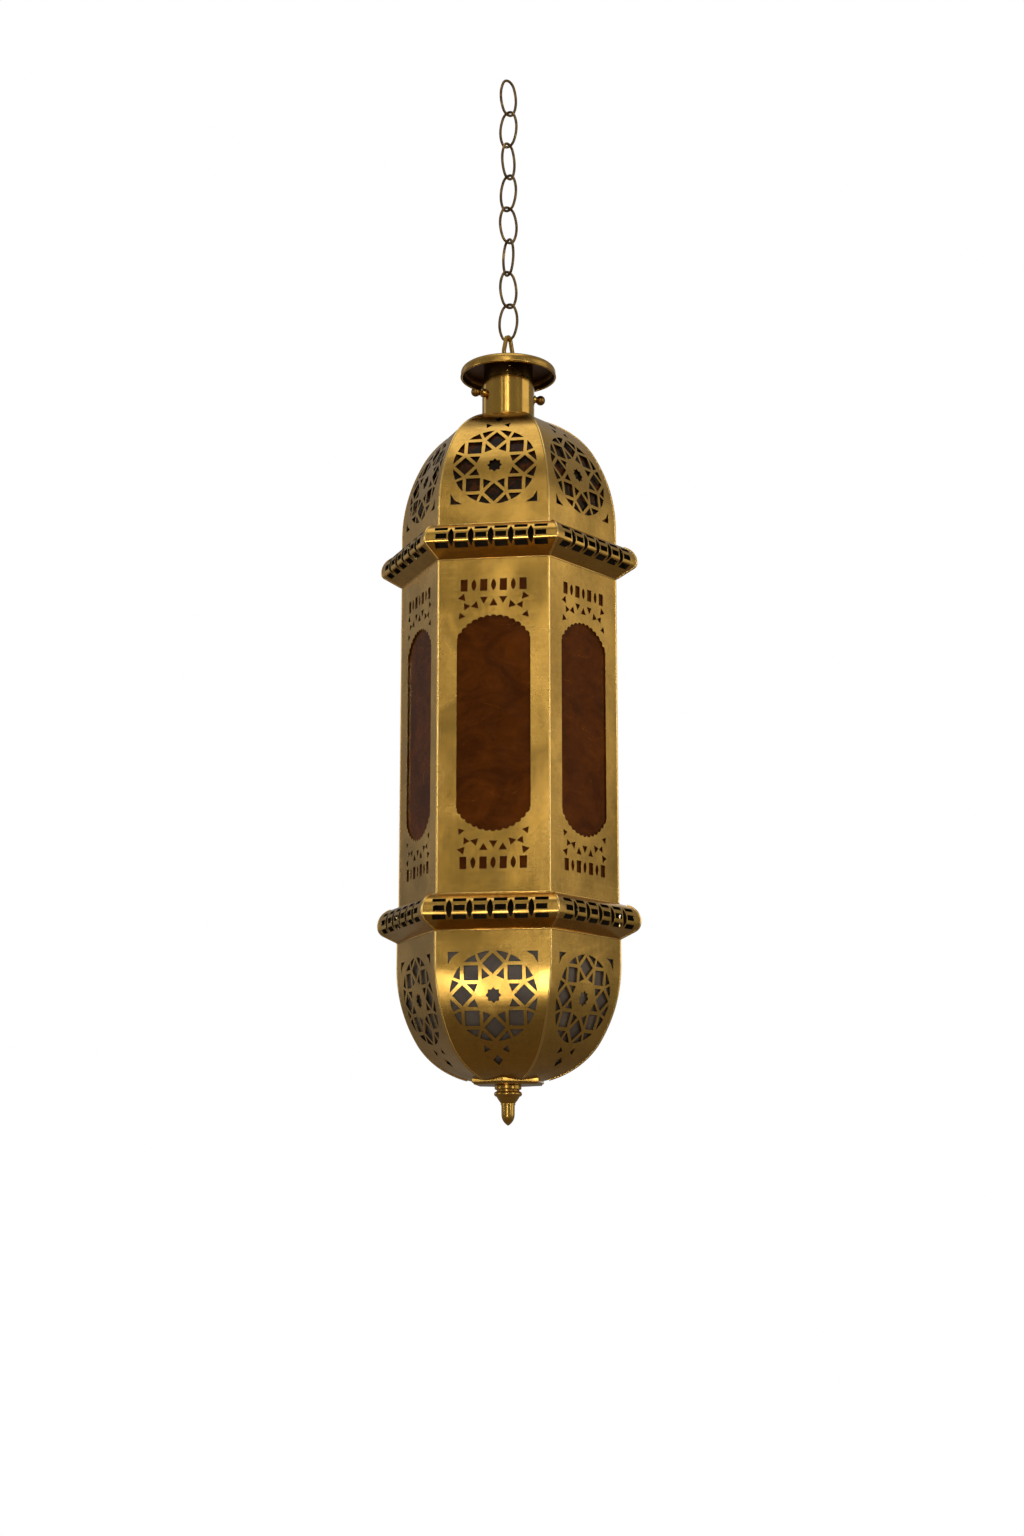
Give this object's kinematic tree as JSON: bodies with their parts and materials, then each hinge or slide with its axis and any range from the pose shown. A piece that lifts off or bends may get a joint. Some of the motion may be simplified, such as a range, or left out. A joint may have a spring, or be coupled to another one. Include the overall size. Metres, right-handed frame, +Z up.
{
  "type": "hanging lantern",
  "caption": "Hexagonal pierced-brass hanging lantern with domed ends, arched amber panes, a dished cap on a link chain and a turned drop finial.",
  "frame": {"origin": "the point on the inside of the top chain link where it bears on its support", "axes": "+Z up along the chain, the front panel facing -Y, +X to the front panel's right"},
  "size_m": [0.244, 0.2112, 1.0204],
  "materials": {
    "aged_brass": "dark antique patina",
    "polished_brass": "polished",
    "worn_brass": "hand-beaten, aged",
    "dark_brass": "tarnished",
    "amber_glass": "seeded amber glass",
    "frosted_glass": "frosted",
    "clear_glass": "clear",
    "porcelain": "glazed",
    "black_plastic": "moulded",
    "nickel_shell": "plated",
    "filament": "phosphor-coated"
  },
  "bodies": {
    "chain_link_1": {"chain_link_1": "aged_brass"},
    "chain_link_2": {"chain_link_2": "aged_brass"},
    "chain_link_3": {"chain_link_3": "aged_brass"},
    "chain_link_4": {"chain_link_4": "aged_brass"},
    "chain_link_5": {"chain_link_5": "aged_brass"},
    "chain_link_6": {"chain_link_6": "aged_brass"},
    "chain_link_7": {"chain_link_7": "aged_brass"},
    "chain_link_8": {"chain_link_8": "aged_brass"},
    "cap": {"hanging_loop": "polished_brass", "cap_disc": "worn_brass", "cap_sleeve": "worn_brass", "wire_bush": "black_plastic", "threaded_nipple": "polished_brass", "cap_nut": "worn_brass", "lampholder_cup": "worn_brass", "lampholder_shell": "worn_brass", "lampholder_core": "porcelain", "lampholder_contacts": "polished_brass"},
    "bulb": {"bulb_cap": "nickel_shell", "bulb_glass": "clear_glass", "bulb_filament": "filament"},
    "lantern": {"neck_tube": "polished_brass", "screw_bosses": "worn_brass", "upper_gore_1": "worn_brass", "upper_gore_2": "worn_brass", "upper_gore_3": "worn_brass", "upper_gore_4": "worn_brass", "upper_gore_5": "worn_brass", "upper_gore_6": "worn_brass", "upper_liner": "amber_glass", "upper_ring": "worn_brass", "body_panel_1": "worn_brass", "body_panel_2": "worn_brass", "body_panel_3": "worn_brass", "body_panel_4": "worn_brass", "body_panel_5": "worn_brass", "body_panel_6": "worn_brass", "amber_pane_1": "amber_glass", "amber_pane_2": "amber_glass", "amber_pane_3": "amber_glass", "amber_pane_4": "amber_glass", "amber_pane_5": "amber_glass", "amber_pane_6": "amber_glass", "pane_clips": "dark_brass", "lower_ring": "worn_brass", "lower_gore_1": "worn_brass", "lower_gore_2": "worn_brass", "lower_gore_3": "worn_brass", "lower_gore_4": "worn_brass", "lower_gore_5": "worn_brass", "lower_gore_6": "worn_brass", "lower_diffuser": "frosted_glass", "base_plate": "worn_brass", "finial": "polished_brass", "finial_nut": "worn_brass"},
    "screw_left": {"thumb_screw_2": "dark_brass"},
    "screw_right": {"thumb_screw_1": "dark_brass"}
  },
  "joints": [
    {"name": "link_2_swing", "type": "hinge", "parent": "chain_link_1", "child": "chain_link_2", "pos_m": [0, 0, -0.035], "axis": [0.5878, 0.809, 0], "range_deg": [-25, 25]},
    {"name": "link_3_swing", "type": "hinge", "parent": "chain_link_2", "child": "chain_link_3", "pos_m": [0, 0, -0.06845], "axis": [0.8387, -0.5446, 0], "range_deg": [-25, 25]},
    {"name": "link_4_swing", "type": "hinge", "parent": "chain_link_3", "child": "chain_link_4", "pos_m": [0, 0, -0.1019], "axis": [0.4384, 0.8988, 0], "range_deg": [-25, 25]},
    {"name": "link_5_swing", "type": "hinge", "parent": "chain_link_4", "child": "chain_link_5", "pos_m": [0, 0, -0.13535], "axis": [0.7986, -0.6018, 0], "range_deg": [-25, 25]},
    {"name": "link_6_swing", "type": "hinge", "parent": "chain_link_5", "child": "chain_link_6", "pos_m": [0, 0, -0.1688], "axis": [0.6561, 0.7547, 0], "range_deg": [-25, 25]},
    {"name": "link_7_swing", "type": "hinge", "parent": "chain_link_6", "child": "chain_link_7", "pos_m": [0, 0, -0.20225], "axis": [0.5878, -0.809, 0], "range_deg": [-25, 25]},
    {"name": "link_8_swing", "type": "hinge", "parent": "chain_link_7", "child": "chain_link_8", "pos_m": [0, 0, -0.2357], "axis": [0.6293, 0.7771, 0], "range_deg": [-25, 25]},
    {"name": "cap_swing", "type": "hinge", "parent": "chain_link_8", "child": "cap", "pos_m": [0, 0, -0.26915], "axis": [0.891, -0.454, 0], "range_deg": [-25, 25]},
    {"name": "lantern_drop", "type": "slide", "parent": "cap", "child": "lantern", "axis": [0, 0, -1], "range_m": [0, 0.045]},
    {"name": "bulb_withdraw", "type": "slide", "parent": "cap", "child": "bulb", "axis": [0, 0, -1], "range_m": [0, 0.026]},
    {"name": "screw_right_withdraw", "type": "slide", "parent": "lantern", "child": "screw_right", "axis": [0.8746, 0.4848, 0], "range_m": [0, 0.006]},
    {"name": "screw_left_withdraw", "type": "slide", "parent": "lantern", "child": "screw_left", "axis": [-0.8746, -0.4848, 0], "range_m": [0, 0.006]}
  ]
}
